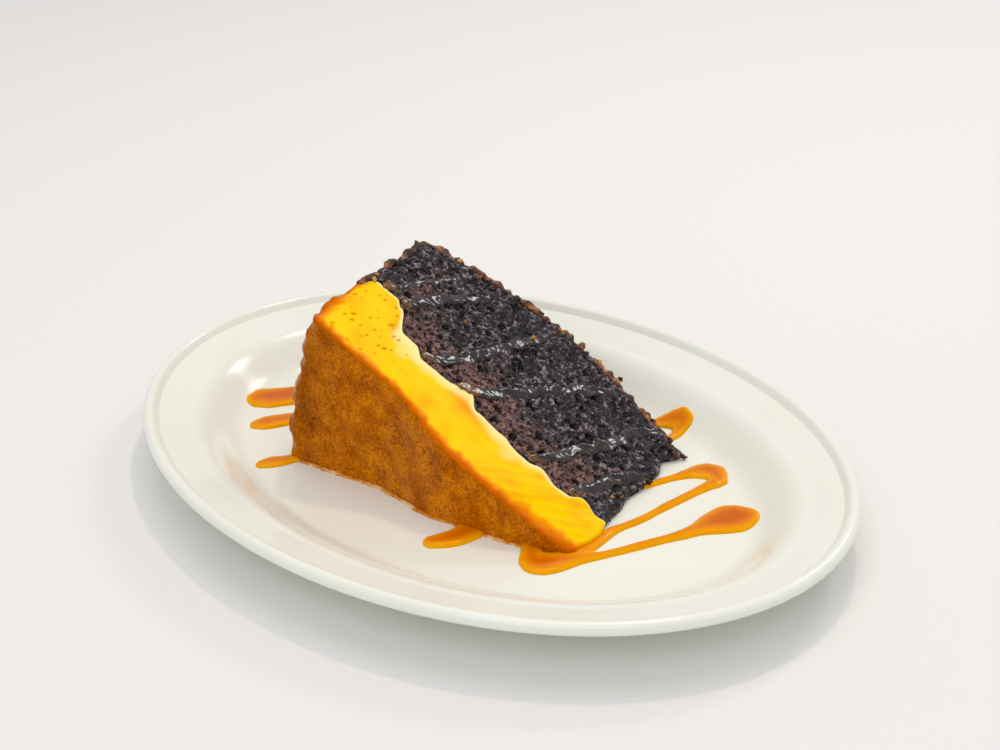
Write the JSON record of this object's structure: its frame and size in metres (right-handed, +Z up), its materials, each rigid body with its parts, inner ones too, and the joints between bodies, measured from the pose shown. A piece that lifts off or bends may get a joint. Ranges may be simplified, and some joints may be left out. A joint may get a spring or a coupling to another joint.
{
  "type": "chocoflan slice on plate",
  "caption": "Wedge of layered custard and chocolate cake lying on its cut side on an oval rimmed plate, with caramel sauce drizzled over cake and plate.",
  "frame": {"origin": "middle of the plate's outline, on the plane of its foot", "axes": "+X along the plate's long axis, towards the slice's tip; +Y from the custard side of the slice to the cake side; +Z up"},
  "size_m": [0.2906, 0.2136, 0.0713],
  "materials": {
    "plate_glaze": "warm white gloss glaze",
    "custard": "moist set custard, yellow, with a brown caramel face",
    "chocolate_crumb": "dark open cake crumb",
    "caramel_sauce": "glossy amber caramel sauce",
    "syrup_glaze": "wet translucent caramel syrup over chocolate"
  },
  "bodies": {
    "root": {"plate": "plate_glaze", "flan": "custard", "chocolate_cake": "chocolate_crumb"}
  },
  "joints": []
}
